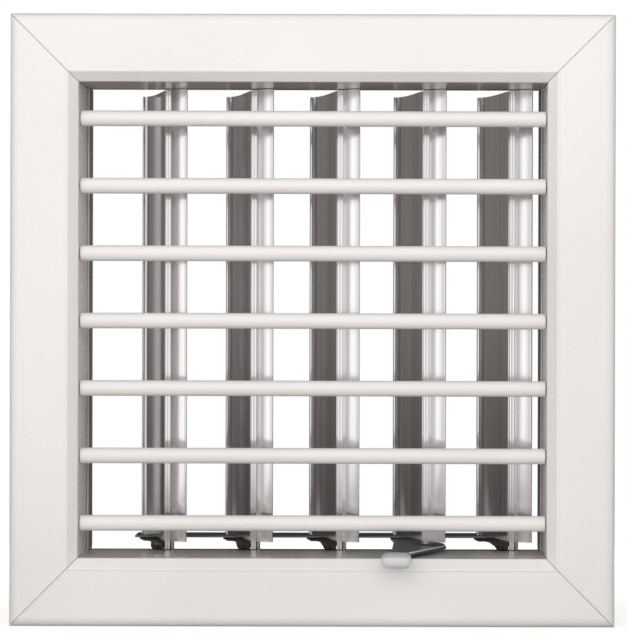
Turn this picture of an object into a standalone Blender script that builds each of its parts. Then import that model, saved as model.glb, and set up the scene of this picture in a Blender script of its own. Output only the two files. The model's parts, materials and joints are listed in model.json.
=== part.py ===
"""Wall ventilation grille with turning slats and a flow damper behind them.

Frame of reference: +X to the right and +Z up as seen by someone facing the grille, +Y into
the wall. The origin is the centre of the opening in the plane of the wall, where the back of
the flange rests. All lengths are in metres.

Four lengths of one aluminium extrusion are mitred into a frame: each has a flange that covers
the edge of the wall opening and a neck that reaches into it. Seven level slats turn on stubs
in the side walls of the neck. Five upright vanes behind them turn together: a crank under each
vane is riveted to one flat link bar, and a lever under the fourth vane carries the knob.
"""
import math

import bmesh
import bpy
import numpy as np

# Clearances
seat_gap = 0.0003
running_gap = 0.0003
mitre_setback = 0.0002

# Frame extrusion, measured across the flange from its outer edge and back from the wall plane
face_width = 0.250
face_height = 0.253
flange_width = 0.028
flange_depth = 0.006
extrusion_wall = 0.0013
edge_round_width = 0.0045
edge_round_depth = 0.0042
bevel_width = 0.0042
bevel_depth = 0.0040
bead_width = 0.0009
bead_height = 0.00035
cove_width = 0.0016
cove_depth = 0.00015
cove_land = 0.0004
neck_length = 0.034

# Channel for the corner keys on the back of the flange
channel_from_bevel = 0.0046
channel_width = 0.0084
channel_leg = 0.0012
channel_hook = 0.0016
key_leg_length = 0.040

# Side strips that close the gap beside the end vanes
strip_thickness = 0.0011
strip_depth = 0.008

# Slats: as many at this pitch as the neck has room for
slat_pitch = 0.02805
slat_end_room = 0.0125
slat_drop = 0.0004
slat_nose_radius = 0.00325
slat_tail_radius = 0.0008
slat_chord = 0.016
slat_wall = 0.0010
slat_setback = 0.003
slat_axis_from_nose = 0.005
slat_end_gap = 0.0004
slat_cavity_length = 0.00615

# Stub plugs that carry the slats
stub_radius = 0.0015
stub_reach = 0.0007
plug_length = 0.008
stub_root = 0.002

# Vanes: evenly spaced between the two margins, no further apart than the widest pitch they close
vane_pitch_limit = 0.0370
vane_right_margin = 0.0107
vane_left_margin = 0.0361
vane_axis_from_rear = 0.003
vane_wall = 0.0012
vane_top_gap = 0.0009
vane_floor_gap = 0.0037
port_radius = 0.0020
wing_root_x = 0.0004
wing_root_y = 0.0006
wing_reach = 0.0064
wing_forward = 0.0056
wing_bow = 0.0009
leaf_reach = 0.0160
leaf_depth = 0.0258
leaf_root_x = -0.0019
leaf_root_y = 0.0008
leaf_near_pull_x = -0.0070
leaf_near_pull_y = 0.0145
leaf_far_pull_x = -0.0095
leaf_far_pull_y = 0.0262
rib_left = 0.0031
rib_width = 0.00235
rib_front = 0.0022
rib_back = 0.0012
rib_groove_width = 0.0004
rib_groove_depth = 0.0005

# Vane pins
pin_radius = 0.00085
pin_depth_in_vane = 0.010
pin_reach = 0.0007

# Cranks, link bar and rivets
plate_thickness = 0.0008
link_offset_x = -0.014
link_offset_y = 0.027
link_eye_radius = 0.0030
pivot_eye_radius = 0.0034
collar_radius = 0.0022
hub_left = 0.0093
hub_width = 0.0052
hub_front = 0.0040
hub_back = 0.0042
hub_chamfer = 0.0009
boss_radius = 0.0011
boss_from_hub_left = 0.0021
bar_left_overhang = 0.0047
bar_right_overhang = 0.0087
bar_front = 0.0040
bar_depth = 0.0140
rivet_radius = 0.0010
rivet_head_radius = 0.0020
rivet_head_height = 0.0006

# Lever and knob
lever_side_radius = 0.0052
lever_heel_x = 0.0067
lever_heel_front = 0.0090
lever_neck_left = 0.0173
lever_neck_right = 0.0089
lever_neck_front = 0.0350
lever_waist_left = 0.0169
lever_waist_back = 0.0120
tongue_width = 0.0054
tongue_shoulder = 0.0030
rim_thickness = 0.0009
rim_height = 0.0018
knob_offset_x = -0.0147
knob_offset_y = -0.04825
knob_width = 0.0124
knob_depth = 0.0080
knob_height = 0.0065
knob_drop = 0.00135
knob_corner = 0.0033
knob_edge = 0.0012
tongue_into_knob = 0.0055

# Angles in degrees: where an outline's arcs begin and end, and the sharpest smooth-shaded fold
eye_arc_start = 20
eye_arc_end = 190
side_arc_end = 60
smooth_fold = 35

# Straight steps that stand for each round stretch
pin_steps = 16
boss_steps = 20
nose_steps = 16
tail_steps = 6
edge_steps = 8
bead_steps = 6
leaf_steps = 16
wing_steps = 8
eye_steps = 10
corner_steps = 5

# Values that follow from the sizes above
opening_half_width = face_width / 2 - flange_width
opening_half_height = face_height / 2 - flange_width
neck_front_y = bevel_depth - flange_depth
channel_end = flange_width - bevel_width - channel_from_bevel
channel_start = channel_end - channel_width
slat_axis_y = neck_front_y + slat_setback + slat_axis_from_nose
slat_nose_y = -slat_axis_from_nose + slat_nose_radius
slat_tail_y = slat_chord - slat_axis_from_nose - slat_tail_radius
slat_half_length = opening_half_width - slat_end_gap
slat_centre_z = -slat_drop
vane_axis_y = neck_length - vane_axis_from_rear
right_vane_x = opening_half_width - vane_right_margin
vane_span = right_vane_x + opening_half_width - vane_left_margin
vane_spaces = math.ceil(vane_span / vane_pitch_limit)
vane_pitch = vane_span / vane_spaces
vane_top_z = opening_half_height - vane_top_gap
vane_bottom_z = vane_floor_gap - opening_half_height
bar_top_z = vane_bottom_z - seat_gap
bar_bottom_z = bar_top_z - plate_thickness
arm_top_z = bar_bottom_z - seat_gap
arm_bottom_z = arm_top_z - plate_thickness
rib_end_z = opening_half_height - seat_gap
slat_count = int((opening_half_height - slat_end_room) * 2 / slat_pitch) + 1
slat_numbers = range(1, slat_count + 1)

# Vanes are numbered from the right, and the lever works the second one
vane_numbers = range(1, vane_spaces + 2)
lever_vane_number = vane_numbers[1]


def vane_x(number):
    """X of one vane's axis, counted from the right-hand wall."""
    return right_vane_x - (number - 1) * vane_pitch


def slat_z(number):
    """Z of one slat's axis, counted from the top."""
    return slat_centre_z + ((slat_count + 1) / 2 - number) * slat_pitch


def clear_scene():
    for old in list(bpy.data.objects):
        bpy.data.objects.remove(old, do_unlink=True)


def linear(channel):
    value = channel / 255
    if value <= 0.04045:
        return value / 12.92
    return ((value + 0.055) / 1.055) ** 2.4


def make_material(name, red, green, blue, roughness, metallic):
    made = bpy.data.materials.new(name)
    made.use_nodes = True
    shader = made.node_tree.nodes["Principled BSDF"]
    shader.inputs["Base Color"].default_value = (linear(red), linear(green), linear(blue), 1)
    shader.inputs["Roughness"].default_value = roughness
    shader.inputs["Metallic"].default_value = metallic
    return made


def add_object(name, mesh, material, place=(0, 0, 0), smooth=True):
    """A named object for one piece, with its own copy of the material."""
    made = bpy.data.objects.new(name, mesh)
    bpy.context.scene.collection.objects.link(made)
    made.location = place
    if smooth:
        mesh.shade_smooth()
        mesh.set_sharp_from_angle(angle=math.radians(smooth_fold))
    mesh.materials.clear()
    mesh.materials.append(material)
    return made


def mesh_from(points, faces, name="shape"):
    made = bpy.data.meshes.new(name)
    made.from_pydata([tuple(point) for point in points], [], faces)
    shape = bmesh.new()
    shape.from_mesh(made)
    bmesh.ops.recalc_face_normals(shape, faces=shape.faces)
    shape.to_mesh(made)
    shape.free()
    return made


def lofted(ring_a, ring_b):
    """A closed solid between two rings of equally many points, capped at both ends."""
    count = len(ring_a)
    sides = [(i, (i + 1) % count, (i + 1) % count + count, i + count) for i in range(count)]
    caps = [tuple(range(count)), tuple(range(count, 2 * count))]
    return mesh_from(list(ring_a) + list(ring_b), sides + caps)


def upright_prism(outline, low, high):
    """A plan outline of (x, y) points carried straight up from low to high."""
    bottom = [(x, y, low) for x, y in outline]
    top = [(x, y, high) for x, y in outline]
    return lofted(bottom, top)


def level_prism(outline, left, right):
    """A side outline of (y, z) points carried along X from left to right."""
    return lofted([(left, y, z) for y, z in outline], [(right, y, z) for y, z in outline])


def level_tube(outer, inner, left, right):
    """A hollow length along X between two outlines of equally many points."""
    count = len(outer)
    rings = [(left, y, z) for y, z in outer] + [(right, y, z) for y, z in outer]
    rings += [(left, y, z) for y, z in inner] + [(right, y, z) for y, z in inner]
    faces = []
    for i in range(count):
        j = (i + 1) % count
        faces.append((i, j, j + count, i + count))
        faces.append((j + 2 * count, i + 2 * count, i + 3 * count, j + 3 * count))
        faces.append((j, i, i + 2 * count, j + 2 * count))
        faces.append((i + count, j + count, j + 3 * count, i + 3 * count))
    return mesh_from(rings, faces)


def arc(centre_x, centre_y, radius_x, radius_y, start, end, steps):
    """Points of an elliptical arc between two angles in degrees, both ends included."""
    angles = np.radians(np.linspace(start, end, steps + 1))
    return [(centre_x + radius_x * math.cos(a), centre_y + radius_y * math.sin(a)) for a in angles]


def circle(centre_x, centre_y, radius, steps):
    return arc(centre_x, centre_y, radius, radius, 0, 360, steps)[:-1]


def teardrop(front_y, front_radius, rear_y, rear_radius):
    """A round nose and a smaller round tail joined by their two common tangents."""
    slope = math.degrees(math.asin((front_radius - rear_radius) / (rear_y - front_y)))
    nose = arc(front_y, 0, front_radius, front_radius, 90 - slope, 270 + slope, nose_steps)
    tail = arc(rear_y, 0, rear_radius, rear_radius, slope - 90, 90 - slope, tail_steps)
    return nose + tail


def rod(radius, low, high, x=0.0, y=0.0, steps=pin_steps):
    return upright_prism(circle(x, y, radius, steps), low, high)


def level_rod(radius, left, right, y, z):
    return level_prism(circle(y, z, radius, pin_steps), left, right)


def joined_meshes(meshes):
    """Several separate closed shells in one mesh, for use as a single cutter."""
    shape = bmesh.new()
    for piece in meshes:
        shape.from_mesh(piece)
    made = bpy.data.meshes.new("cutter")
    shape.to_mesh(made)
    shape.free()
    return made


def combined(base, added=(), removed=()):
    """The base mesh with other meshes united to it and then cut out of it."""
    host = bpy.data.objects.new("host", base)
    bpy.context.scene.collection.objects.link(host)
    tools = []
    steps = [(piece, "UNION") for piece in added] + [(piece, "DIFFERENCE") for piece in removed]
    for piece, operation in steps:
        tool = bpy.data.objects.new("tool", piece)
        bpy.context.scene.collection.objects.link(tool)
        tool.hide_render = True
        tool.display_type = "WIRE"
        change = host.modifiers.new(operation.lower(), "BOOLEAN")
        change.solver = "EXACT"
        change.operation = operation
        change.object = tool
        tools.append(tool)
    graph = bpy.context.evaluated_depsgraph_get()
    result = bpy.data.meshes.new_from_object(host.evaluated_get(graph))
    for old in tools + [host]:
        bpy.data.objects.remove(old, do_unlink=True)
    return result


def frame_profile():
    """Section of the extrusion as (distance in from the outer edge, depth) points.

    It runs up the rounded outer edge, across the face, over the bead, down the bevel and back
    along the neck, then returns along the hidden side and around the two hooked channel legs.
    """
    back = 0.0
    face = -flange_depth
    round_y = face + edge_round_depth
    bevel_start = flange_width - bevel_width
    bead_start = bevel_start - bead_width
    cove_end = bead_start - cove_land
    points = [(0.0, back)]
    points += arc(edge_round_width, round_y, edge_round_width, edge_round_depth, 180, 270, edge_steps)
    points.append((cove_end - cove_width, face))
    points.append((cove_end, face + cove_depth))
    points.append((bead_start, face + cove_depth))
    bead_rise = bead_height + cove_depth
    points += arc(bead_start + bead_width / 2, face + cove_depth, bead_width / 2, bead_rise,
                  180, 360, bead_steps)[1:-1]
    points.append((bevel_start, face))
    points.append((flange_width, neck_front_y))
    points.append((flange_width, neck_length))
    inside = flange_width - extrusion_wall
    hidden = face + extrusion_wall
    slant = math.atan2(bevel_depth, bevel_width)
    shift = extrusion_wall / math.cos(slant)
    slope = bevel_depth / bevel_width
    points.append((inside, neck_length))
    points.append((inside, neck_front_y + shift - extrusion_wall * slope))
    points.append((bevel_start - (shift - extrusion_wall) / slope, hidden))
    points += [(channel_end + channel_leg, hidden), (channel_end + channel_leg, back)]
    points += [(channel_end - channel_hook, back), (channel_end - channel_hook, back - channel_leg)]
    points += [(channel_end, back - channel_leg), (channel_end, hidden)]
    points += [(channel_start, hidden), (channel_start, back - channel_leg)]
    points += [(channel_start + channel_hook, back - channel_leg), (channel_start + channel_hook, back)]
    points += [(channel_start - channel_leg, back), (channel_start - channel_leg, hidden)]
    points += arc(edge_round_width, round_y, edge_round_width - extrusion_wall,
                  edge_round_depth - extrusion_wall, 270, 180, edge_steps)
    points.append((extrusion_wall, back))
    return points


def mitred_length(half_across, half_along, upright):
    """One frame member: the section between two 45 degree mitres, on the positive side."""
    ends = []
    for sign in (-1, 1):
        ring = []
        for inward, depth in frame_profile():
            along = sign * (half_along - inward - mitre_setback)
            across = half_across - inward
            ring.append((across, depth, along) if upright else (along, depth, across))
        ends.append(ring)
    return lofted(ends[0], ends[1])


def flipped(mesh, axis):
    """The same mesh mirrored to the negative side of one axis, faces still outward."""
    shape = bmesh.new()
    shape.from_mesh(mesh)
    for vertex in shape.verts:
        vertex.co[axis] = -vertex.co[axis]
    bmesh.ops.reverse_faces(shape, faces=shape.faces)
    made = bpy.data.meshes.new("flipped")
    shape.to_mesh(made)
    shape.free()
    return made


def build_frame(material):
    """Four mitred members with their pivot holes, the corner keys and the side strips."""
    wall_out = opening_half_width + 2 * extrusion_wall
    side = mitred_length(face_width / 2, face_height / 2, upright=True)
    stub_holes = [level_rod(stub_radius + running_gap, opening_half_width - extrusion_wall,
                            wall_out, slat_axis_y, slat_z(n)) for n in slat_numbers]
    side = combined(side, removed=[joined_meshes(stub_holes)])
    add_object("frame_right", side, material)
    add_object("frame_left", flipped(side, 0), material)
    top = mitred_length(face_height / 2, face_width / 2, upright=False)
    roof = opening_half_height + 2 * extrusion_wall
    pin_holes = [rod(pin_radius + running_gap, opening_half_height - extrusion_wall, roof,
                     vane_x(n), vane_axis_y) for n in vane_numbers]
    top = combined(top, removed=[joined_meshes(pin_holes)])
    add_object("frame_top", top, material)
    add_object("frame_bottom", flipped(top, 2), material)


def build_corner_keys(material):
    """Flat L-shaped keys that lie in the channel across each mitre."""
    near = channel_start + seat_gap
    far = channel_end - seat_gap
    front = extrusion_wall - flange_depth + seat_gap
    back = -channel_leg - seat_gap
    corner = [(near, near), (key_leg_length, near), (key_leg_length, far), (far, far),
              (far, key_leg_length), (near, key_leg_length)]
    places = {"top_left": (-1, 1), "top_right": (1, 1), "bottom_left": (-1, -1), "bottom_right": (1, -1)}
    for name, (side, level) in places.items():
        ring = [(side * (face_width / 2 - a), level * (face_height / 2 - b)) for a, b in corner]
        key = lofted([(x, front, z) for x, z in ring], [(x, back, z) for x, z in ring])
        add_object("corner_key_" + name, key, material, smooth=False)


def build_side_strips(material):
    """Flat strips on the side walls at the rear of the neck, beside the end vanes."""
    outer = opening_half_width - seat_gap
    inner = outer - strip_thickness
    half = opening_half_height - seat_gap
    for name, sign in (("left", -1), ("right", 1)):
        rear = neck_length
        ring = [(inner, rear - strip_depth), (outer, rear - strip_depth), (outer, rear), (inner, rear)]
        strip = upright_prism([(sign * x, y) for x, y in ring], -half, half)
        add_object("side_strip_" + name, strip, material, smooth=False)


def build_slats(slat_material, stub_material):
    """Hollow slats, each on two stub plugs pressed into its ends."""
    shrink = (slat_nose_radius - slat_tail_radius) / (slat_tail_y - slat_nose_y)
    cavity_nose = slat_nose_radius - slat_wall
    cavity_y = slat_nose_y + slat_cavity_length
    cavity_tail = cavity_nose - slat_cavity_length * shrink
    outer = teardrop(slat_nose_y, slat_nose_radius, slat_tail_y, slat_tail_radius)
    inner = teardrop(slat_nose_y, cavity_nose, cavity_y, cavity_tail)
    slat = level_tube(outer, inner, -slat_half_length, slat_half_length)
    plug_outline = teardrop(slat_nose_y, cavity_nose - seat_gap, cavity_y, cavity_tail - seat_gap)
    plug = level_prism(plug_outline, slat_half_length - plug_length, slat_half_length)
    stub_end = opening_half_width + extrusion_wall + stub_reach
    stub = level_rod(stub_radius, slat_half_length - stub_root, stub_end, 0, 0)
    right_plug = combined(plug, added=[stub])
    left_plug = flipped(right_plug, 0)
    for number in slat_numbers:
        place = (0, slat_axis_y, slat_z(number))
        add_object(f"slat_{number}", slat, slat_material, place)
        add_object(f"slat_{number}_stub_left", left_plug, stub_material, place)
        add_object(f"slat_{number}_stub_right", right_plug, stub_material, place)


def thickened(path, thickness):
    """Outline of a strip of even thickness along a path, square at both ends."""
    path = np.array(path)
    heading = np.gradient(path, axis=0)
    heading /= np.linalg.norm(heading, axis=1)[:, None]
    across = np.stack([-heading[:, 1], heading[:, 0]], axis=1) * thickness / 2
    return [tuple(p) for p in path + across] + [tuple(p) for p in (path - across)[::-1]]


def leaf_path():
    """A cubic curve from the rib back and to the left, ending parallel to the face."""
    t = np.linspace(0, 1, leaf_steps + 1)[:, None]
    root = np.array([leaf_root_x, leaf_root_y])
    near = np.array([leaf_near_pull_x, leaf_near_pull_y])
    far = np.array([leaf_far_pull_x, leaf_far_pull_y])
    end = np.array([-leaf_reach, leaf_depth])
    return (1 - t) ** 3 * root + 3 * (1 - t) ** 2 * t * near + 3 * (1 - t) * t ** 2 * far + t ** 3 * end


def wing_path():
    """A shallow arc from the port forward and to the right, bowed away from the viewer."""
    t = np.linspace(0, 1, wing_steps + 1)
    start = np.array([wing_root_x, wing_root_y])
    end = np.array([wing_reach, -wing_forward])
    straight = start + t[:, None] * (end - start)
    span = (end - start) / np.linalg.norm(end - start)
    away = np.array([-span[1], span[0]])
    return straight + (4 * t * (1 - t) * wing_bow)[:, None] * away


def rib_outline():
    """The upright rib in front of the leaf, with a narrow groove down its face."""
    left = -rib_left
    right = left + rib_width
    middle = (left + right) / 2
    groove = rib_groove_width / 2
    front = -rib_front
    return [(left, rib_back), (left, front), (middle - groove, front),
            (middle - groove, front + rib_groove_depth), (middle + groove, front + rib_groove_depth),
            (middle + groove, front), (right, front), (right, rib_back)]


def vane_mesh(rib_bottom):
    """One extruded vane: leaf, wing, pin port and rib, with pin holes up its port."""
    leaf = upright_prism(thickened(leaf_path(), vane_wall), vane_bottom_z, vane_top_z)
    wing = upright_prism(thickened(wing_path(), vane_wall), vane_bottom_z, vane_top_z)
    port = rod(port_radius, vane_bottom_z, vane_top_z, steps=boss_steps)
    rib = upright_prism(rib_outline(), rib_bottom, rib_end_z)
    bore = rod(pin_radius + seat_gap, -opening_half_height, opening_half_height)
    return combined(port, added=[leaf, wing, rib], removed=[bore])


def hull_outline(circles):
    """Outline of the tightest band around several circles of (x, y, radius)."""
    points = []
    for x, y, radius in circles:
        points += circle(x, y, radius, boss_steps)
    points = sorted(set(points))
    chain = []
    for direction in (points, points[::-1]):
        part = []
        for point in direction:
            while len(part) > 1 and turn(part[-2], part[-1], point) <= 0:
                part.pop()
            part.append(point)
        chain += part[:-1]
    return chain


def turn(a, b, c):
    """Positive where the path a, b, c bends to the left."""
    return (b[0] - a[0]) * (c[1] - a[1]) - (b[1] - a[1]) * (c[0] - a[0])


def crank_mesh():
    """A thin arm under the vane with a deep hub and a round boss beside the rib."""
    hub_centre = hub_width / 2 - hub_left
    arm_outline = hull_outline([(0, 0, pivot_eye_radius), (hub_centre, 0, hub_width / 2),
                                (link_offset_x, link_offset_y, link_eye_radius)])
    arm = upright_prism(arm_outline, arm_bottom_z, arm_top_z)
    foot = -rib_end_z
    left = -hub_left
    right = left + hub_width
    hub_ring = [(left, foot + hub_chamfer), (left + hub_chamfer, foot), (right, foot),
                (right, bar_top_z), (left, bar_top_z)]
    hub = lofted([(x, -hub_front, z) for x, z in hub_ring], [(x, hub_back, z) for x, z in hub_ring])
    boss = rod(boss_radius, foot, bar_top_z, left + boss_from_hub_left, -hub_front)
    collar = rod(collar_radius, arm_bottom_z, bar_top_z, steps=boss_steps)
    slot_left = -rib_left - seat_gap
    slot_right = rib_width - rib_left + seat_gap
    slot_front = -rib_front - pivot_eye_radius
    slot_back = rib_back + seat_gap
    slot = [(slot_left, slot_front), (slot_right, slot_front), (slot_right, slot_back), (slot_left, slot_back)]
    rib_slot = upright_prism(slot, foot - plate_thickness, vane_bottom_z)
    pin_hole = rod(pin_radius + seat_gap, foot, vane_bottom_z)
    rivet_hole = rod(rivet_radius + running_gap, foot, vane_bottom_z, link_offset_x, link_offset_y)
    return combined(arm, added=[hub, boss, collar], removed=[rib_slot, pin_hole, rivet_hole])


def lever_mesh():
    """Bell-crank plate: link eye behind the pin, heel beside it, tongue into the knob."""
    knob_back = knob_offset_y + knob_depth / 2
    tongue_end = knob_back - tongue_into_knob
    tongue_left = knob_offset_x - tongue_width / 2
    tongue_right = knob_offset_x + tongue_width / 2
    outline = [(tongue_left, tongue_end), (tongue_right, tongue_end),
               (tongue_right, -lever_neck_front - tongue_shoulder),
               (-lever_neck_right, -lever_neck_front), (lever_heel_x, -lever_heel_front)]
    outline += arc(0, 0, lever_side_radius, pivot_eye_radius, 0, side_arc_end, corner_steps)
    outline += arc(link_offset_x, link_offset_y, link_eye_radius, link_eye_radius,
                   eye_arc_start, eye_arc_end, eye_steps)
    outline += [(-lever_waist_left, lever_waist_back), (-lever_neck_left, -lever_neck_front),
                (tongue_left, -lever_neck_front - tongue_shoulder)]
    plate = upright_prism(outline, arm_bottom_z, arm_top_z)
    rim_line = [(-lever_neck_right, -lever_neck_front), (lever_heel_x, -lever_heel_front)]
    run = math.hypot(rim_line[1][0] - rim_line[0][0], rim_line[1][1] - rim_line[0][1])
    inset_x = (rim_line[0][1] - rim_line[1][1]) / run * rim_thickness
    inset_y = (rim_line[1][0] - rim_line[0][0]) / run * rim_thickness
    rim_outline = rim_line + [(x + inset_x, y + inset_y) for x, y in rim_line[::-1]]
    rim = upright_prism(rim_outline, arm_bottom_z, arm_bottom_z + rim_height)
    pin_hole = rod(pin_radius + seat_gap, arm_bottom_z - plate_thickness, bar_top_z)
    rivet_hole = rod(rivet_radius + running_gap, arm_bottom_z - plate_thickness, bar_top_z,
                     link_offset_x, link_offset_y)
    return combined(plate, added=[rim], removed=[pin_hole, rivet_hole])


def knob_mesh():
    """A rounded cap with a slot at its back for the lever's tongue."""
    half_x = knob_width / 2 - knob_corner
    half_y = knob_depth / 2 - knob_corner
    middle_z = (arm_top_z + arm_bottom_z) / 2 - knob_drop
    edge = arc(knob_edge, knob_height / 2 - knob_edge, knob_edge, knob_edge, 90, 180, corner_steps)
    levels = edge + [(inset, -height) for inset, height in edge[::-1]]
    points = []
    for inset, height in levels:
        corner = knob_corner - inset
        ring = []
        for start, sign_x, sign_y in ((0, 1, 1), (90, -1, 1), (180, -1, -1), (270, 1, -1)):
            ring += arc(knob_offset_x + sign_x * half_x, knob_offset_y + sign_y * half_y,
                        corner, corner, start, start + 90, corner_steps)
        points += [(x, y, middle_z + height) for x, y in ring]
    count = len(points) // len(levels)
    faces = [tuple(range(count)), tuple(range(len(points) - count, len(points)))]
    for row in range(len(levels) - 1):
        for i in range(count):
            j = (i + 1) % count
            faces.append((row * count + i, row * count + j, (row + 1) * count + j, (row + 1) * count + i))
    cap = mesh_from(points, faces)
    slot_left = knob_offset_x - tongue_width / 2 - seat_gap
    slot_right = knob_offset_x + tongue_width / 2 + seat_gap
    knob_back = knob_offset_y + knob_depth / 2
    slot_end = knob_back - tongue_into_knob - seat_gap
    slot = [(slot_left, slot_end), (slot_right, slot_end), (slot_right, knob_back + knob_edge),
            (slot_left, knob_back + knob_edge)]
    pocket = upright_prism(slot, arm_bottom_z - seat_gap, arm_top_z + seat_gap)
    return combined(cap, removed=[pocket])


def build_vanes(materials):
    """Five vanes with their pins, four cranks, and the lever, collar and knob of one vane."""
    plain_vane = vane_mesh(-rib_end_z)
    lever_side_vane = vane_mesh(vane_bottom_z)
    crank = crank_mesh()
    pin_out = opening_half_height + extrusion_wall + pin_reach
    top_pin = rod(pin_radius, vane_top_z - pin_depth_in_vane, pin_out)
    bottom_pin = rod(pin_radius, -pin_out, vane_bottom_z + pin_depth_in_vane)
    for number in vane_numbers:
        place = (vane_x(number), vane_axis_y, 0)
        blade = lever_side_vane if number == lever_vane_number else plain_vane
        add_object(f"vane_{number}", blade, materials["vane"], place)
        add_object(f"vane_{number}_top_pin", top_pin, materials["pin"], place)
        add_object(f"vane_{number}_bottom_pin", bottom_pin, materials["pin"], place)
        if number != lever_vane_number:
            add_object(f"crank_{number}", crank, materials["crank"], place)
    place = (vane_x(lever_vane_number), vane_axis_y, 0)
    add_object("lever", lever_mesh(), materials["lever"], place)
    collar = combined(rod(collar_radius, arm_top_z + seat_gap, bar_top_z, steps=boss_steps),
                      removed=[rod(pin_radius + seat_gap, arm_bottom_z, vane_bottom_z)])
    add_object("lever_collar", collar, materials["pin"], place)
    add_object("lever_knob", knob_mesh(), materials["knob"], place)


def build_link(bar_material, rivet_material):
    """The flat bar that ties the cranks together, and the rivet at each crank."""
    place = (vane_x(lever_vane_number) + link_offset_x, vane_axis_y + link_offset_y, 0)
    eyes = [vane_x(n) - vane_x(lever_vane_number) for n in vane_numbers]
    left = eyes[-1] - bar_left_overhang
    right = eyes[0] + bar_right_overhang
    rear = bar_depth - bar_front
    outline = [(left, -bar_front), (right, -bar_front), (right, rear), (left, rear)]
    holes = [rod(rivet_radius + running_gap, arm_bottom_z, vane_bottom_z, eye, 0) for eye in eyes]
    bar = combined(upright_prism(outline, bar_bottom_z, bar_top_z), removed=[joined_meshes(holes)])
    add_object("link_bar", bar, bar_material, place)
    head_top = arm_bottom_z - seat_gap
    for number, eye in zip(vane_numbers, eyes):
        shank = rod(rivet_radius, head_top - rivet_head_height / 2, bar_top_z, eye, 0)
        head = rod(rivet_head_radius, head_top - rivet_head_height, head_top, eye, 0)
        rivet = combined(head, added=[shank])
        add_object(f"link_rivet_{number}", rivet, rivet_material, place)


clear_scene()
white_paint = make_material("white powder coat", 236, 233, 229, 0.45, 0.0)
bare_aluminium = make_material("extruded aluminium", 170, 168, 166, 0.35, 1.0)
steel = make_material("bright steel", 190, 190, 190, 0.3, 1.0)
nylon = make_material("white nylon", 225, 222, 214, 0.5, 0.0)
black_plastic = make_material("black plastic", 30, 28, 28, 0.45, 0.0)
lever_steel = make_material("slate grey steel", 92, 94, 98, 0.45, 0.6)
knob_plastic = make_material("grey plastic", 196, 197, 196, 0.4, 0.0)

build_frame(white_paint)
build_corner_keys(steel)
build_side_strips(white_paint)
build_slats(white_paint, nylon)
build_vanes({"vane": bare_aluminium, "pin": steel, "crank": black_plastic,
             "lever": lever_steel, "knob": knob_plastic})
build_link(black_plastic, steel)
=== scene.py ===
import json
import math

import bmesh
import bpy
import numpy as np
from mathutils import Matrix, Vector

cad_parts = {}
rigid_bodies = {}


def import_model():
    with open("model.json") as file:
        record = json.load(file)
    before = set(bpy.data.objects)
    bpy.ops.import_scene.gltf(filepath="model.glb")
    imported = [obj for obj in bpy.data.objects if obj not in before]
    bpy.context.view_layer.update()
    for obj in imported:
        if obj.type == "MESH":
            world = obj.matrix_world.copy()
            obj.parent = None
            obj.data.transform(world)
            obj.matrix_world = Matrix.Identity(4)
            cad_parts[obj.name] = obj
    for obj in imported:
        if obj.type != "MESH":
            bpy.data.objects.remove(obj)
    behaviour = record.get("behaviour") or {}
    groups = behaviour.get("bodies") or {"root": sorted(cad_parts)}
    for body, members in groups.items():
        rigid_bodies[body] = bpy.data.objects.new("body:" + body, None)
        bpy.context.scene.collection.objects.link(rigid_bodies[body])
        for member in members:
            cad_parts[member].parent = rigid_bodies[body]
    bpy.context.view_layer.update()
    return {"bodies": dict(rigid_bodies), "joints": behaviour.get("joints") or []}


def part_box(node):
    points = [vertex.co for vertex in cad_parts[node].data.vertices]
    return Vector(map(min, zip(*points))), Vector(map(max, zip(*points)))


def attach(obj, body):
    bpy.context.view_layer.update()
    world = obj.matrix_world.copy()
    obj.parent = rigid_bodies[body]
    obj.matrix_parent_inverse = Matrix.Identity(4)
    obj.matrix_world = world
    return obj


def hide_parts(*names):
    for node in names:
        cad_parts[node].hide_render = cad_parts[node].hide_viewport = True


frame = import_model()

# The finished look of a wall ventilation grille, in metres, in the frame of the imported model:
# +X to the right, +Z up, +Y into the wall. Joint axes and outer sizes are read from that model.
joint_of = {joint["child"]: joint for joint in frame["joints"]}
slat_names = sorted(name for name in frame["bodies"] if name.startswith("slat_"))
vane_names = sorted(name for name in frame["bodies"] if name.startswith("vane_"))
lever_vane = joint_of["link"]["parent"]


def axis_of(body):
    """A point on the axis that a body turns about."""
    return np.array(joint_of[body]["pos_m"])


# Clearances
seat_gap = 0.0003
running_gap = 0.0003
press_gap = 0.0001
mitre_setback = 0.00015

# Frame extrusion
face_half_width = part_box("frame_right")[1].x
face_half_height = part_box("frame_top")[1].z
neck_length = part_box("frame_top")[1].y
flange_width = 0.028
flange_depth = 0.006
extrusion_wall = 0.0013
edge_round = (0.0045, 0.0042)
bevel_width = 0.0037
bevel_depth = 0.0040
bead_width = 0.0012
bead_height = 0.00013
bead_lean = 35
cove_width = 0.0016
cove_depth = 0.00005
cove_land = 0.0004
channel_from_bevel = 0.0051
channel_width = 0.0084
channel_leg = 0.0012
channel_hook = 0.0016
bevel_fillet = 0.0003
neck_end_fillet = 0.0002
key_leg_length = 0.040
key_corner = 0.0012
strip_bevel = 0.005
strip_land = 0.0002

# Slats and the plugs that carry them
slat_nose_radius = 0.00325
slat_tail_radius = 0.0008
slat_chord = 0.016
slat_wall = 0.0010
slat_axis_from_nose = 0.005
slat_end_gap = 0.0004
slat_end_edge = 0.00015
slat_cavity_length = 0.00615
stub_radius = 0.0015
stub_reach = 0.0007
plug_length = 0.008

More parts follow.
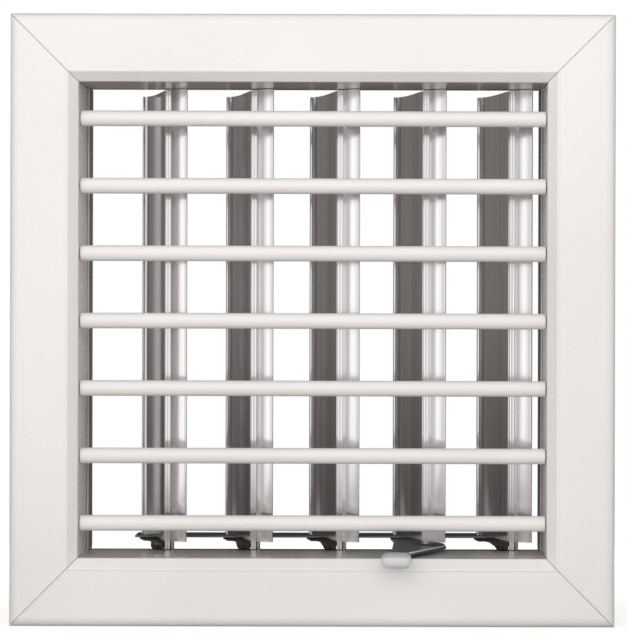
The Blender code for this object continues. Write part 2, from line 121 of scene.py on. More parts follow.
# Vanes. Points are given to the right of and behind a vane's axis, here and in the two lists below
vane_wall = 0.0012
vane_tip_radius = 0.0005
vane_top_gap = 0.0003
vane_top_lean = 0.018
vane_floor_gap = 0.0037
port_radius = 0.0020
wing_root = (-0.0009, -0.0013)
wing_tip = (0.0064, -0.0047)
wing_bow = -0.00035
leaf_root = (-0.0030, 0.0009)
leaf_near_pull = (-0.0066, 0.0095)
leaf_far_pull = (-0.0095, 0.0262)
leaf_tip = (-0.0160, 0.0258)
rib_left = 0.0031
rib_width = 0.00235
rib_front = 0.0022
rib_back = 0.0012
rib_groove_width = 0.0004
rib_groove_depth = 0.0005
pin_radius = 0.00085
pin_depth_in_vane = 0.010
pin_reach = 0.0007

# Cranks, link bar and rivets
plate_thickness = 0.0008
link_offset = np.array((-0.014, 0.027))
link_eye_radius = 0.0030
crank_corner = 0.001
crank_waist_radius = 0.002
plate_right = 0.0
plate_side_end = 0.008
plate_rear = (-0.0020, 0.0245)
plate_waist = (-0.0108, 0.0160)
hub_left = 0.0090
hub_width = 0.00555
hub_front = 0.0025
hub_back = 0.0180
hub_chamfer = 0.0009
boss_radius = 0.00125
boss_from_hub_left = 0.0021
bar_front = 0.0040
bar_depth = 0.0140
bar_corner = 0.0006
bar_left_overhang = 0.0047
bar_right_overhang = 0.0087
rivet_radius = 0.0010
rivet_head_radius = 0.0020
rivet_head_height = 0.0006
rivet_dome_flat = 0.00001

# Lever, its collar (two rounds, each with its radius) and the knob
lever_heel = (0.0067, -0.0090)
lever_side = (0.0060, 0.0045)
lever_neck_left = (-0.0170, -0.0350)
lever_neck_right = (-0.0089, -0.0350)
lever_shoulder = (-0.0032, 0.0228)
lever_waist = (-0.0155, 0.0120)
lever_fillet = 0.0006
lever_heel_radius = 0.0012
lever_side_radius = 0.003
lever_waist_radius = 0.0015
lever_edge = 0.00012
collar_round = (0.0, 0.0, 0.0014)
collar_lobe = (-0.0019, -0.0009, 0.0018)
tongue_width = 0.0054
tongue_shoulder = 0.0030
rim_thickness = 0.0009
rim_height = 0.0014
knob_offset = (-0.0147, -0.04825)
knob_width = 0.0124
knob_depth = 0.0080
knob_height = 0.0062
knob_rise = 0.0024
knob_corner = 0.0033
knob_edge = 0.0027
tongue_into_knob = 0.0055

# Values that follow
opening_half_width = face_half_width - flange_width
opening_half_height = face_half_height - flange_width
neck_front_y = bevel_depth - flange_depth
channel_end = flange_width - bevel_width - channel_from_bevel
channel_start = channel_end - channel_width
slat_nose_y = slat_nose_radius - slat_axis_from_nose
slat_tail_y = slat_chord - slat_axis_from_nose - slat_tail_radius
slat_half_length = opening_half_width - slat_end_gap
vane_top_z = opening_half_height - vane_top_gap
vane_bottom_z = vane_floor_gap - opening_half_height
bar_top_z = vane_bottom_z - seat_gap
bar_bottom_z = bar_top_z - plate_thickness
arm_top_z = bar_bottom_z - seat_gap
arm_bottom_z = arm_top_z - plate_thickness
knob_top_z = (arm_top_z + arm_bottom_z) / 2 + knob_rise
rib_end_z = opening_half_height - seat_gap
pin_end_z = opening_half_height + extrusion_wall + pin_reach

# Steps of a grid for each turn or curve
circle_steps = 40
curve_steps = 48
fillet_steps = 4
eye_steps = 24
edge_steps = 20
inner_edge_steps = 12
bead_steps = 14
cove_steps = 8
knob_steps = 12
dome_steps = 8
smooth_fold = math.radians(32)

# Softened edges and corners that several pieces share
fine_fillet = 0.0003
fine_edge = 0.0002
thin_edge = 0.0001

# Faces that would lie in one plane before a union are set this far apart
inset_step = 0.00003

# Points closer than this are one, and these limits keep a straight corner from dividing by zero
same_point = 1e-7
least_turn = 1e-6
least_length = 1e-9

# Panels in front of the grille, as (sideways part of the direction, strength) from left to right
studio_panels = ((-0.92, 0.95), (-0.88, 0.85), (-0.83, 0.5), (-0.74, 1.3), (-0.67, 1.35), (-0.55, 0.78),
                 (-0.2, 1.1), (-0.04, 1.45), (0.03, 1.3), (0.09, 0.7))

# The studio's light: each line has two values of a part of the direction and the strengths there
front_by_depth = (-0.35, 0.35, 1, 0)
fill_by_front = (0, 1, 0.16, 0.74)
fill_by_steepness = (0.1, 0.9, 1.25, 0.4)
fill_by_rise = (-0.8, 0.8, 0.8, 1.2)
dim_by_rise = (-0.09, 0.0, 0.09, 0.20)
far_by_depth = (0.75, 0.97, 1, 0.35)
flanks_by_depth = (0.96, 0.98, 0, 1)
flanks_by_side = (0.0, 0.1, 0, 0.3)
flanks_by_steepness = (0.04, 0.1, 1, 0.3)
backdrop_by_depth = (0.9985, 0.9995, 0, 1)

# The floor's edges and drop below the grille, and two distances with its light for the camera
floor_side = 0.45
floor_front = -0.6
floor_back = 0.3
floor_gap = 0.0002
floor_by_distance = (0.17, 0.28, 0.68, 1.0)

# Lamps and camera: metres, degrees, watts for the softbox and watts per square metre at the rear
softbox_size = (1.7, 1.0)
softbox_power = 9.4
softbox_place = (-0.1, -1.3, 0.45)
rear_strength = 1.0
rear_spread = 8
rear_place = (0, 1.5, 0)
camera_place = (0.0299, -0.902, 0.0072)
camera_roll = -0.15

# Nearly all values of a noise pattern lie in this range
noise_range = (0.3, 0.7)

# The order of an outline's two coordinates and its run, for an upright and a level piece
upright = (0, 1, 2)
level = (2, 0, 1)


def arc(centre, radius, start, end, steps):
    """Points at the centre plus the two radii times the cosine and sine of an evenly growing angle."""
    angle = np.radians(np.linspace(start, end, steps + 1))
    return np.stack([centre[0] + radius[0] * np.cos(angle), centre[1] + radius[1] * np.sin(angle)], axis=1)


def circle(centre, radius, steps=circle_steps):
    """A full circle that starts half a step round, so that no point lies square to its centre."""
    half_step = 180 / steps
    return arc(centre, (radius, radius), half_step, 360 + half_step, steps)[:-1]


def without_repeats(outline):
    """The outline with each point dropped that lies on the one before it."""
    step = np.linalg.norm(outline - np.roll(outline, 1, axis=0), axis=1)
    return outline[step > same_point]


def filleted(corners, radius, steps=fillet_steps):
    """A closed outline whose corners are arcs that touch both of their sides.

    With a and b the unit vectors to the two neighbours and h half the angle between them, an arc's
    centre lies radius / sin h along their bisector and its ends lie radius / tan h along a and b.
    The points between turn evenly about that centre from the first end to the second.
    """
    corners = np.asarray(corners, float)
    radius = np.broadcast_to(radius, len(corners))[:, None]
    to_last = np.roll(corners, 1, axis=0) - corners
    to_next = np.roll(corners, -1, axis=0) - corners
    to_last /= np.linalg.norm(to_last, axis=1)[:, None]
    to_next /= np.linalg.norm(to_next, axis=1)[:, None]
    cosine = np.clip((to_last * to_next).sum(axis=1), -1, 1)[:, None]
    half = np.arccos(cosine) / 2
    sweep = np.maximum(math.pi - 2 * half, least_turn)[:, :, None]
    bisector = to_last + to_next
    bisector /= np.maximum(np.linalg.norm(bisector, axis=1)[:, None], least_length)
    centre = corners + bisector * radius / np.sin(half)
    first = corners + to_last * radius / np.tan(half) - centre
    second = corners + to_next * radius / np.tan(half) - centre
    share = np.linspace(0, 1, steps + 1)[None, :, None]
    spread = np.sin((1 - share) * sweep) * first[:, None] + np.sin(share * sweep) * second[:, None]
    points = centre[:, None] + spread / np.sin(sweep)
    return without_repeats(points.reshape(-1, 2))


def inward(outline):
    """For each point, the step that draws a closed outline in by one unit all round."""
    following = np.roll(outline, -1, axis=0) - outline
    area = (outline[:, 0] * np.roll(outline[:, 1], -1) - outline[:, 1] * np.roll(outline[:, 0], -1)).sum()
    following /= np.linalg.norm(following, axis=1)[:, None]
    after = np.stack([-following[:, 1], following[:, 0]], axis=1) * np.sign(area)
    before = np.roll(after, 1, axis=0)
    return (before + after) / (1 + (before * after).sum(axis=1))[:, None]


def carried(outline, start, end, edge=0.0, order=upright):
    """A closed outline carried straight from start to end, with both end edges rounded.

    Near an end the outline is drawn in by edge times one less the sine of an angle, where it lies
    edge times one less the cosine of that angle from the end.
    """
    angle = np.linspace(0, math.pi / 2, fillet_steps + 1) if edge else np.array([math.pi / 2])
    drawn_in = edge * (1 - np.sin(angle))
    rise = edge * (1 - np.cos(angle)) if edge else np.array([0.0])
    along = np.concatenate([start + rise, (end - rise)[::-1]])
    drawn_in = np.concatenate([drawn_in, drawn_in[::-1]])
    flat = outline + drawn_in[:, None, None] * inward(outline)
    height = np.broadcast_to(along[:, None, None], flat.shape[:2] + (1,))
    return np.concatenate([flat, height], axis=2)[:, :, order]


def turned(profile, centre, steps=circle_steps):
    """A profile of (radius, height) points turned about an upright axis: radius times cosine and sine."""
    profile = np.asarray(profile, float)
    angle = np.linspace(0, 2 * math.pi, steps + 1)[:-1]
    x = centre[0] + profile[:, :1] * np.cos(angle)
    y = centre[1] + profile[:, :1] * np.sin(angle)
    z = np.broadcast_to(profile[:, 1:], x.shape)
    return np.stack([x, y, z], axis=2)


def mesh_of(rings, wrapped=False):
    """A closed mesh from a grid of rings: joined side by side, and capped or wrapped at the ends."""
    stations, count = rings.shape[:2]
    number = np.arange(stations * count).reshape(stations, count)
    beside = np.roll(number, -1, axis=1)
    last = stations if wrapped else stations - 1
    above = np.roll(number, -1, axis=0)[:last]
    above_beside = np.roll(beside, -1, axis=0)[:last]
    sides = np.stack([number[:last], beside[:last], above_beside, above], axis=2).reshape(-1, 4)
    faces = sides.tolist()
    if not wrapped:
        faces += [number[0].tolist(), number[-1].tolist()]
    made = bpy.data.meshes.new("shape")
    made.from_pydata(rings.reshape(-1, 3).tolist(), [], faces)
    return outward(made)


def outward(mesh):
    """The same mesh with every face turned outwards."""
    shape = bmesh.new()
    shape.from_mesh(mesh)
    bmesh.ops.recalc_face_normals(shape, faces=shape.faces)
    shape.to_mesh(mesh)
    shape.free()
    return mesh


def placed(mesh, place=(0, 0, 0), mirror=(1, 1, 1)):
    """A copy of a mesh, mirrored by signs and then shifted, with its faces outward again."""
    made = mesh.copy()
    points = np.empty(len(made.vertices) * 3)
    made.vertices.foreach_get("co", points)
    points = points.reshape(-1, 3) * mirror + place
    made.vertices.foreach_set("co", points.ravel())
    made.update()
    if np.prod(mirror) < 0:
        made.flip_normals()
    return made


def combined(base, added=(), removed=()):
    """A mesh with others united to it and then cut out of it."""
    host = bpy.data.objects.new("host", base)
    bpy.context.scene.collection.objects.link(host)
    tools = []
    for piece, operation in [(p, "UNION") for p in added] + [(p, "DIFFERENCE") for p in removed]:
        tool = bpy.data.objects.new("tool", piece)
        bpy.context.scene.collection.objects.link(tool)
        change = host.modifiers.new(operation.lower(), "BOOLEAN")
        change.solver = "EXACT"
        change.operation = operation
        change.object = tool
        tools.append(tool)
    graph = bpy.context.evaluated_depsgraph_get()
    result = bpy.data.meshes.new_from_object(host.evaluated_get(graph))
    for old in tools + [host]:
        bpy.data.objects.remove(old, do_unlink=True)
    return result


def together(meshes):
    """Several separate closed shells in one mesh, used as a single cutter."""
    shape = bmesh.new()
    for mesh in meshes:
        shape.from_mesh(mesh)
    made = bpy.data.meshes.new("cutter")
    shape.to_mesh(made)
    shape.free()
    return made


def rod(centre, radius, low, high, edge=0.0, order=upright):
    """A round bar from low to high."""
    return mesh_of(carried(circle(centre, radius), low, high, edge, order))


def add_piece(node, mesh, material, body):
    """The finished piece that stands for one node and moves with its body."""
    made = bpy.data.objects.new(node + "_finished", mesh)
    bpy.context.scene.collection.objects.link(made)
    mesh.shade_smooth()
    mesh.set_sharp_from_angle(angle=smooth_fold)
    mesh.materials.clear()
    mesh.materials.append(material)
    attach(made, body)
    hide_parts(node)


def linear(hex_colour):
    """An sRGB hex colour as linear red, green, blue and full alpha."""
    channel = np.array([int(hex_colour[i:i + 2], 16) for i in (1, 3, 5)]) / 255
    low = channel / 12.92
    high = ((channel + 0.055) / 1.055) ** 2.4
    return (*np.where(channel <= 0.04045, low, high).tolist(), 1)


def feed(tree, node, links):
    """Links each named socket of a node to its source."""
    for socket, source in links.items():
        tree.links.new(source, node.inputs[socket])


def add_node(tree, kind, values=None, links=None, **settings):
    """A new node with its settings, its sockets' values and its incoming links."""
    made = tree.nodes.new(kind)
    for name, value in settings.items():
        setattr(made, name, value)
    for socket, value in (values or {}).items():
        made.inputs[socket].default_value = value
    feed(tree, made, links or {})
    return made


def joined(tree, operation, *sources):
    """The sources joined by one arithmetic operation."""
    return add_node(tree, "ShaderNodeMath", {}, dict(enumerate(sources)), operation=operation).outputs[0]


def axes(tree, place):
    """The X, Y and Z parts of a place or a direction."""
    return add_node(tree, "ShaderNodeSeparateXYZ", {}, {0: place}).outputs


def start_material(name, **values):
    """A material whose shader has these values, with its tree, shader and place on the object."""
    made = bpy.data.materials.new(name)
    made.use_nodes = True
    tree = made.node_tree
    shader = tree.nodes["Principled BSDF"]
    for socket, value in values.items():
        shader.inputs[socket.replace("_", " ")].default_value = value
    place = add_node(tree, "ShaderNodeTexCoord").outputs["Object"]
    return made, tree, shader, place


def pattern(tree, place, size, detail=2.0, offset=(0, 0, 0)):
    """Noise whose lumps have these real sizes along X, Y and Z."""
    scale = tuple(1 / s for s in size)
    scaled = add_node(tree, "ShaderNodeMapping", {"Scale": scale, "Location": offset}, {"Vector": place})
    return add_node(tree, "ShaderNodeTexNoise", {"Scale": 1.0, "Detail": detail},
                    {"Vector": scaled.outputs["Vector"]}).outputs["Fac"]


def spread_of(tree, source, low, high, dark, light):
    """The source value from low to high, mapped to the range from dark to light."""
    values = {"From Min": low, "From Max": high, "To Min": dark, "To Max": light}
    return add_node(tree, "ShaderNodeMapRange", values, {"Value": source}).outputs["Result"]


def blend(tree, share, first, second):
    """A mix of two colours, each an sRGB hex or another node's output. Socket 0 is the share of the
    second colour, and sockets 6 and 7 are the two colours."""
    values = {}
    links = {0: share}
    for socket, colour in ((6, first), (7, second)):
        if isinstance(colour, str):
            values[socket] = linear(colour)
        else:
            links[socket] = colour
    return add_node(tree, "ShaderNodeMix", values, links, data_type="RGBA").outputs[2]


def raised(tree, shader, source, height):
    """Relief of a real height from a source value, put on the shader."""
    bump = add_node(tree, "ShaderNodeBump", {"Strength": 1.0, "Distance": height}, {"Height": source})
    feed(tree, shader, {"Normal": bump.outputs["Normal"]})


def powder_coat():
    """Polyester powder, sprayed and baked on extruded aluminium: an even satin white with the
    faint orange peel, lumps about a millimetre across, that baked powder leaves. On the neck's
    floor and roof, behind the bevel, and all round the rear of the neck, the white is mixed
    towards a grey: painted shade for the shaded inside of the neck."""
    peel_height = 0.0000025
    shade_on_walls = 0.54
    wall = opening_half_height
    made, tree, shader, place = start_material("white_powder_coat", IOR=1.5)
    peel = pattern(tree, place, (0.0013, 0.0013, 0.0013))
    drift = pattern(tree, place, (0.07, 0.07, 0.07), 1.0)
    tone = blend(tree, spread_of(tree, drift, *noise_range, 0, 1), "#F4F0ED", "#F0EBE7")
    _, depth, rise = axes(tree, place)
    height = joined(tree, "ABSOLUTE", rise)

    # Painted shade, a grey: on the neck's floor and roof, behind the bevel, and all round at the rear
    at_wall = spread_of(tree, height, wall - 0.0003, wall - 0.0001, 0, shade_on_walls)
    on_inner_side = spread_of(tree, height, wall + 0.0005, wall + 0.001, 1, 0)
    behind_bevel = spread_of(tree, depth, neck_front_y - 0.0005, neck_front_y + 0.0015, 0, 1)
    at_rear = spread_of(tree, depth, 0.026, 0.028, 0, 1)
    painted_neck_shade = joined(tree, "MULTIPLY", at_wall, behind_bevel)
    painted_neck_shade = joined(tree, "MULTIPLY", painted_neck_shade, on_inner_side)
    painted_neck_shade = joined(tree, "MAXIMUM", painted_neck_shade, at_rear)
    feed(tree, shader, {"Base Color": blend(tree, painted_neck_shade, tone, "#7E7A74"),
                        "Roughness": spread_of(tree, peel, *noise_range, 0.22, 0.28)})
    raised(tree, shader, peel, peel_height)
    return made


def extruded_aluminium():
    """Aluminium as it leaves the die: bright grey metal with fine upright die lines, drawn here
    0.4 mm wide so that they show, and broader streaks where the die was warmer."""
    made, tree, shader, place = start_material("extruded_aluminium", Metallic=1.0)
    lines = pattern(tree, place, (0.0004, 0.0004, 0.15), 3.0)
    streaks = pattern(tree, place, (0.0024, 0.0024, 0.25), 2.0, (3.1, 5.7, 0))
    both = spread_of(tree, joined(tree, "ADD", lines, streaks), 0.7, 1.3, 0, 1)
    feed(tree, shader, {"Base Color": blend(tree, both, "#DAD6D7", "#EFECED"),
                        "Roughness": spread_of(tree, streaks, *noise_range, 0.10, 0.17)})
    raised(tree, shader, lines, 0.00001)
    return made


def zinc_plate():
    """Steel wire and strip, barrel plated with zinc: bright, with soft millimetre mottling."""
    made, tree, shader, place = start_material("zinc_plated_steel", Metallic=1.0)
    mottle = pattern(tree, place, (0.0012, 0.0012, 0.0012))
    tone = blend(tree, spread_of(tree, mottle, *noise_range, 0, 1), "#BFC1C3", "#DADBDC")
    feed(tree, shader, {"Base Color": tone,
                        "Roughness": spread_of(tree, mottle, *noise_range, 0.25, 0.4)})
    return made


def moulded_nylon():
    """Natural nylon from a mould: milky off-white with a fine even sheen."""
    made, tree, shader, place = start_material("moulded_nylon", Roughness=0.5, IOR=1.53)
    grain = pattern(tree, place, (0.0006, 0.0006, 0.0006))
    feed(tree, shader, {"Base Color": blend(tree, grain, "#DAD6CB", "#E6E2D8")})
    raised(tree, shader, grain, 0.000006)
    return made


def black_polyamide():
    """Glass filled black polyamide from an eroded mould: deep grey with a finely pitted sheen."""
    made, tree, shader, place = start_material("black_polyamide", Roughness=0.42, IOR=1.53)
    grain = pattern(tree, place, (0.0005, 0.0005, 0.0005))
    feed(tree, shader, {"Base Color": blend(tree, grain, "#171516", "#262324")})
    raised(tree, shader, grain, 0.00001)
    return made


def strip_with_painted_highlight():
    """Black coated strip cut to width by a shear: dark faces, and a paler front edge that is a
    painted highlight for the light line along the bar's front."""
    made, tree, shader, place = start_material("sheared_black_strip", Roughness=0.4, IOR=1.5)
    grain = pattern(tree, place, (0.02, 0.0007, 0.0007))
    edge_y = axis_of("link")[1] - bar_front
    # Painted highlight: the strip's front edge is mixed towards a pale grey
    painted_edge_highlight = spread_of(tree, axes(tree, place)["Y"], edge_y + 0.0001, edge_y + 0.00015, 1, 0)
    face = blend(tree, grain, "#1B191A", "#2E2B2C")
    feed(tree, shader, {"Base Color": blend(tree, painted_edge_highlight, face, "#7B7977")})
    raised(tree, shader, grain, 0.00001)
    return made


def stamped_steel():
    """Steel sheet, stamped, folded and phosphated: slate grey and half dull, with faint rolling lines.
    The upper edge of the folded rim carries a painted highlight: a pale, less metallic band."""
    made, tree, shader, place = start_material("phosphated_steel")
    grain = pattern(tree, place, (0.0005, 0.009, 0.0005))
    tone = blend(tree, spread_of(tree, grain, *noise_range, 0, 1), "#74797F", "#8A8F95")
    # Painted highlight: the rim's upper edge is made pale and less metallic
    painted_rim_highlight = spread_of(tree, axes(tree, place)["Z"], arm_top_z + 0.0001, arm_top_z + 0.0003, 0, 1)
    feed(tree, shader, {"Base Color": blend(tree, painted_rim_highlight, tone, "#D8DADC"),
                        "Metallic": spread_of(tree, painted_rim_highlight, 0, 1, 0.9, 0.2),
                        "Roughness": spread_of(tree, grain, *noise_range, 0.34, 0.46)})
    return made


def knob_plastic():
    """Light grey ABS from a polished mould: soft even sheen, and painted shade that darkens its top."""
    made, tree, shader, place = start_material("moulded_grey_abs", Roughness=0.38, IOR=1.54)
    grain = pattern(tree, place, (0.0008, 0.0008, 0.0008))
    tone = blend(tree, grain, "#D8DADB", "#E2E4E5")
    # Painted shade: the upper part of the knob is mixed towards a darker grey
    painted_top_shade = spread_of(tree, axes(tree, place)["Z"], knob_top_z - 0.0024, knob_top_z - 0.0012, 0, 1)
    feed(tree, shader, {"Base Color": blend(tree, painted_top_shade, tone, "#ABADAD")})
    raised(tree, shader, grain, 0.000005)
    return made


def frame_profile():
    """Section of the extrusion as (distance in from the outer edge, depth) points.

    Up the rounded outer edge, across the face and its shallow cove, over the low bead, down the
    bevel and back along the neck, then along the hidden side with its hooked channel. The bead is
    the part of an ellipse between its lower corners, where its sides lean in by bead_lean.
    """
    face = -flange_depth
    bevel_start = flange_width - bevel_width
    bead_start = bevel_start - bead_width
    cove_end = bead_start - cove_land
    round_centre = (edge_round[0], face + edge_round[1])
    outer = arc(round_centre, edge_round, 180, 270, edge_steps)
    dip = np.linspace(0, 1, cove_steps + 1)[1:, None]
    cove = np.hstack([cove_end - cove_width * (1 - dip), face + cove_depth * (3 - 2 * dip) * dip ** 2])
    lean = math.radians(bead_lean)
    bead_radius = (bead_width / 2 / math.cos(lean), (bead_height + cove_depth) / (1 - math.sin(lean)))
    bead = arc((bead_start + bead_width / 2, face + cove_depth + bead_radius[1] * math.sin(lean)),
               bead_radius, 180 + bead_lean, 360 - bead_lean, bead_steps)[:-1]
    slant = math.atan2(bevel_depth, bevel_width)
    shift = extrusion_wall / math.cos(slant)
    slope = bevel_depth / bevel_width
    inside = flange_width - extrusion_wall
    hidden = face + extrusion_wall
    leg_back = -channel_leg
    inner_round = arc(round_centre, (edge_round[0] - extrusion_wall, edge_round[1] - extrusion_wall),
                      270, 180, inner_edge_steps)
    sharp = [(0.0, 0.0), *outer, (cove_end - cove_width, face), *cove, (bead_start, face + cove_depth),
             *bead[1:], (bevel_start, face)]
    soft = [(flange_width, neck_front_y), (flange_width, neck_length), (inside, neck_length)]
    rest = [(inside, neck_front_y + shift - extrusion_wall * slope),
            (bevel_start - (shift - extrusion_wall) / slope, hidden),
            (channel_end + channel_leg, hidden), (channel_end + channel_leg, 0.0),
            (channel_end - channel_hook, 0.0), (channel_end - channel_hook, leg_back),
            (channel_end, leg_back), (channel_end, hidden),
            (channel_start, hidden), (channel_start, leg_back),
            (channel_start + channel_hook, leg_back), (channel_start + channel_hook, 0.0),
            (channel_start - channel_leg, 0.0), (channel_start - channel_leg, hidden),
            *inner_round, (extrusion_wall, 0.0)]
    radius = [0.0] * len(sharp) + [bevel_fillet, neck_end_fillet, neck_end_fillet] + [0.0] * len(rest)
    section = filleted(sharp + soft + rest, radius)
    in_sight = np.arange(len(section)) < len(section) - len(rest)
    return section, in_sight


def mitred_length(half_across, half_along, is_upright):
    """One frame member. Each point's distance from the middle, less how far in it lies, is how far
    it runs along the member, so both ends lie on 45 degree planes. The points in sight end a little
    short of them, which leaves the fine dark line of a mitre all along the joint."""
    section, in_sight = frame_profile()
    distance, depth = section.T
    along = half_along - distance - np.where(in_sight, mitre_setback, 0)
    along = np.stack([-along, along])
    across = np.broadcast_to(half_across - distance, along.shape)
    depth = np.broadcast_to(depth, along.shape)
    rings = [across, depth, along] if is_upright else [along, depth, across]
    return mesh_of(np.stack(rings, axis=2))


def build_frame(paint):
    """Four mitred members, with holes for the slats' stubs in the sides and for the vanes' pins."""
    side = mitred_length(face_half_width, face_half_height, True)
    wall_out = opening_half_width + 2 * extrusion_wall
    holes = [rod(axis_of(name)[1:], stub_radius + running_gap, opening_half_width - extrusion_wall,
                 wall_out, order=level) for name in slat_names]
    side = combined(side, removed=[together(holes)])
    top = mitred_length(face_half_height, face_half_width, False)
    roof = opening_half_height + 2 * extrusion_wall
    holes = [rod(axis_of(name)[:2], pin_radius + running_gap, opening_half_height - extrusion_wall, roof)
             for name in vane_names]
    top = combined(top, removed=[together(holes)])
    add_piece("frame_right", side, paint, "frame")
    add_piece("frame_left", placed(side, mirror=(-1, 1, 1)), paint, "frame")
    add_piece("frame_top", top, paint, "frame")
    add_piece("frame_bottom", placed(top, mirror=(1, 1, -1)), paint, "frame")


def build_corner_keys(zinc):
    """Flat L-shaped keys with rounded corners in the channels behind the mitres."""
    near = channel_start + seat_gap
    far = channel_end - seat_gap
    front = extrusion_wall - flange_depth + seat_gap
    back = -channel_leg - seat_gap
    corners = np.array([(near, near), (key_leg_length, near), (key_leg_length, far), (far, far),
                        (far, key_leg_length), (near, key_leg_length)])
    corners = (face_half_width, face_half_height) - corners
    outline = filleted(corners, [0.0, key_corner, key_corner, key_corner, key_corner, key_corner])
    key = mesh_of(carried(outline, front, back, fine_edge, (0, 2, 1)))
    signs = {"top_left": (-1, 1, 1), "top_right": (1, 1, 1),
             "bottom_left": (-1, 1, -1), "bottom_right": (1, 1, -1)}
    for name, mirror in signs.items():
        add_piece("corner_key_" + name, placed(key, mirror=mirror), zinc, "frame")


def build_side_strips(paint):
    """Flat strips on the side walls, at the rear of the neck, with a long bevel down to the wall."""
    low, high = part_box("side_strip_right")
    corners = [(low.x, low.y + strip_bevel), (high.x - strip_land, low.y), (high.x, low.y),
               (high.x, high.y), (low.x, high.y)]
    outline = filleted(corners, [fine_fillet, 0, 0, fine_fillet, fine_fillet])
    strip = mesh_of(carried(outline, low.z, high.z))
    add_piece("side_strip_right", strip, paint, "frame")
    add_piece("side_strip_left", placed(strip, mirror=(-1, 1, 1)), paint, "frame")


def teardrop(front_y, front_radius, rear_y, rear_radius):
    """A round nose and a smaller round tail joined by their two common tangents."""
    slope = math.degrees(math.asin((front_radius - rear_radius) / (rear_y - front_y)))
    nose = arc((front_y, 0), (front_radius, front_radius), 90 - slope, 270 + slope, circle_steps)
    tail = arc((rear_y, 0), (rear_radius, rear_radius), slope - 90, 90 - slope, circle_steps // 4)
    return np.concatenate([nose, tail])


def build_slats(paint, nylon):
    """Hollow slats, and the plug with its round stub in each end of each slat."""
    shrink = (slat_nose_radius - slat_tail_radius) / (slat_tail_y - slat_nose_y)
    cavity_nose = slat_nose_radius - slat_wall
    cavity_y = slat_nose_y + slat_cavity_length
    cavity_tail = cavity_nose - slat_cavity_length * shrink
    outer = teardrop(slat_nose_y, slat_nose_radius, slat_tail_y, slat_tail_radius)
    inner = teardrop(slat_nose_y, cavity_nose, cavity_y, cavity_tail)
    skin = carried(outer, -slat_half_length, slat_half_length, slat_end_edge, level)
    hollow = carried(inner, -slat_half_length, slat_half_length, 0.0, level)
    slat = mesh_of(np.concatenate([skin, hollow[::-1]]), wrapped=True)
    plug_ring = teardrop(slat_nose_y, cavity_nose - seat_gap, cavity_y, cavity_tail - seat_gap)
    bearing = np.arctan2(plug_ring[:, 1], plug_ring[:, 0])
    stub_ring = stub_radius * np.stack([np.cos(bearing), np.sin(bearing)], axis=1)
    stub_end = opening_half_width + extrusion_wall + stub_reach
    plug = carried(plug_ring, slat_half_length - plug_length, slat_half_length, 0.0, level)
    stub = carried(stub_ring, slat_half_length, stub_end, fine_edge, level)[fillet_steps:]
    right_plug = mesh_of(np.concatenate([plug, stub]))
    left_plug = placed(right_plug, mirror=(-1, 1, 1))
    for name in slat_names:
        place = axis_of(name)
        add_piece(name, placed(slat, place), paint, name)
        add_piece(name + "_stub_left", placed(left_plug, place), nylon, name)
        add_piece(name + "_stub_right", placed(right_plug, place), nylon, name)


def strip_outline(path, thickness, tip_radius):
    """A strip of even thickness along a path: the path plus and minus half the thickness times the
    unit vector across it, with the two corners at its far end rounded."""
    heading = np.gradient(path, axis=0)
    heading /= np.linalg.norm(heading, axis=1)[:, None]
    across = np.stack([-heading[:, 1], heading[:, 0]], axis=1) * thickness / 2
    outline = np.concatenate([path + across, (path - across)[::-1]])
    radius = np.zeros(len(outline))
    radius[[len(path) - 1, len(path)]] = tip_radius
    return filleted(outline, radius)


def leaf_path():
    """A cubic curve of four points: the rib, two pulls and the far edge, parallel to the face."""
    t = np.linspace(0, 1, curve_steps + 1)[:, None]
    root, near, far, tip = (np.array(p) for p in (leaf_root, leaf_near_pull, leaf_far_pull, leaf_tip))
    return (1 - t) ** 3 * root + 3 * (1 - t) ** 2 * t * near + 3 * (1 - t) * t ** 2 * far + t ** 3 * tip


def wing_path():
    """A straight line from the rib to the tip plus a bow of 4 t (1 - t) towards the viewer."""
    t = np.linspace(0, 1, curve_steps // 4 + 1)[:, None]
    start, end = np.array(wing_root), np.array(wing_tip)
    span = (end - start) / np.linalg.norm(end - start)
    away = np.array([-span[1], span[0]])
    return start + t * (end - start) + 4 * t * (1 - t) * wing_bow * away


def rib_outline():
    """The upright rib with softened front corners and a narrow groove down its face."""
    left = -rib_left
    right = left + rib_width
    middle = (left + right) / 2
    half = rib_groove_width / 2
    front = -rib_front
    bottom = front + rib_groove_depth
    corners = [(left, rib_back), (left, front), (middle - half, front), (middle - half, bottom),
               (middle + half, bottom), (middle + half, front), (right, front), (right, rib_back)]
    return filleted(corners, [0, fine_fillet, *[thin_edge] * 4, fine_fillet, 0])


def sawn(outline, bottom):
    """An outline carried up to the vane's saw cut, which drops evenly with depth from the wing's tip."""
    rings = carried(outline, bottom, vane_top_z)
    rings[-1, :, 2] -= vane_top_lean * (rings[-1, :, 1] - wing_tip[1])
    return mesh_of(rings)


def vane_mesh(rib_bottom):
    """One extruded vane: leaf, wing, pin port and rib, with the pin bore up its port."""
    leaf = sawn(strip_outline(leaf_path(), vane_wall, vane_tip_radius), vane_bottom_z)
    wing = sawn(strip_outline(wing_path(), vane_wall, vane_tip_radius), vane_bottom_z)
    port = sawn(circle((0, 0), port_radius), vane_bottom_z)
    rib = sawn(rib_outline(), rib_bottom)
    bore = rod((0, 0), pin_radius + seat_gap, -opening_half_height, opening_half_height)
    return combined(port, added=[leaf, wing, rib], removed=[bore])


def hull_outline(circles):
    """Outline of the tightest band around several circles, each given by x, y and radius."""
    points = np.concatenate([circle((x, y), radius) for x, y, radius in circles])
    points = points[np.lexsort((points[:, 1], points[:, 0]))].tolist()
    chain = []
    for direction in (points, points[::-1]):
        part = []
        for point in direction:
            while len(part) > 1 and left_turn(part[-2], part[-1], point) <= 0:
                part.pop()
            part.append(point)
        chain += part[:-1]
    return without_repeats(np.array(chain))


def left_turn(a, b, c):
    """Positive where the path a, b, c bends to the left."""
    return (b[0] - a[0]) * (c[1] - a[1]) - (b[1] - a[1]) * (c[0] - a[0])


